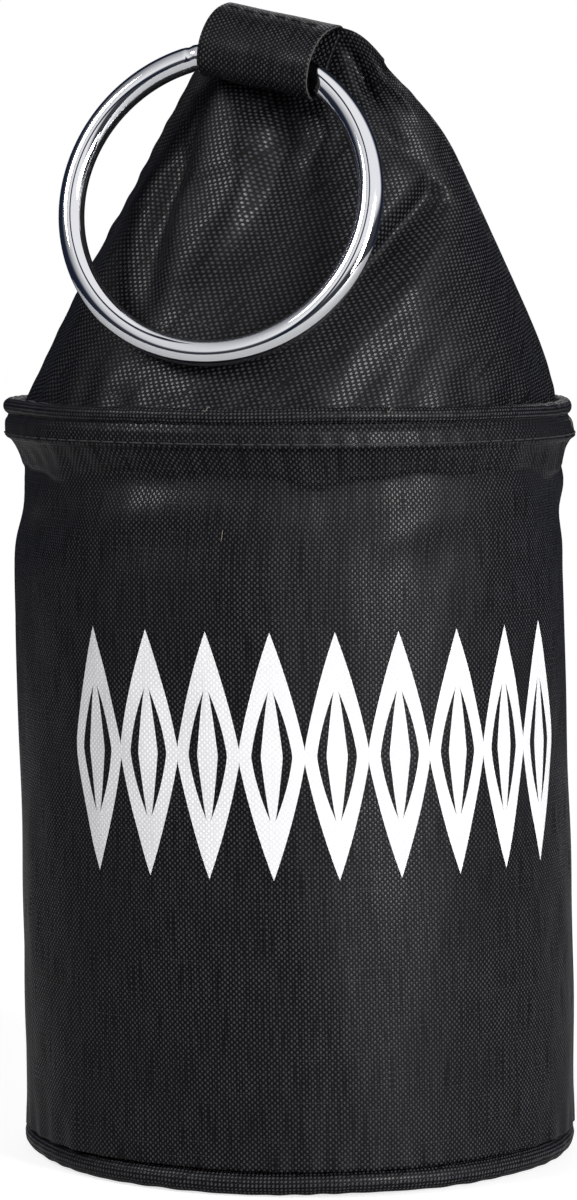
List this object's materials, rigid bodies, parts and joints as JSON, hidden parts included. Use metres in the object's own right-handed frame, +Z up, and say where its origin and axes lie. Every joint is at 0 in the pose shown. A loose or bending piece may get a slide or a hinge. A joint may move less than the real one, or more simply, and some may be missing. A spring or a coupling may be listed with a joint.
{
  "type": "weighted fabric door stop",
  "caption": "Sand-weighted black cloth door stop: a drum with a top pinched to a ridge, a cloth tab on the ridge and a chromed carrying ring that lifts in it.",
  "frame": {"origin": "middle of the base's underside, on the floor", "axes": "+Z up; -Y towards the printed front, the side with the ring; +X to the right as seen from the front"},
  "size_m": [0.1264, 0.1253, 0.2502],
  "materials": {
    "cloth": "matte plain weave",
    "binding": "matte",
    "chrome_wire": "mirror polished",
    "white_ink": "matte",
    "sand_in_polythene": "satin",
    "fibre": "matte"
  },
  "bodies": {
    "bag": {"side_panel": "cloth", "rim_piping": "binding", "roof_front_panel": "cloth", "roof_back_panel": "cloth", "base_panel": "cloth", "base_binding": "binding", "ring_tab": "cloth", "printed_band": "white_ink", "sand_pouch": "sand_in_polythene", "fibre_filling": "fibre"},
    "ring": {"carry_ring": "chrome_wire"}
  },
  "joints": [
    {"name": "ring_swing", "type": "hinge", "parent": "bag", "child": "ring", "pos_m": [-0.0078, -0.03897, 0.23761], "axis": [-0.9162, 0.3426, 0.2079], "range_deg": [0, 215]}
  ]
}
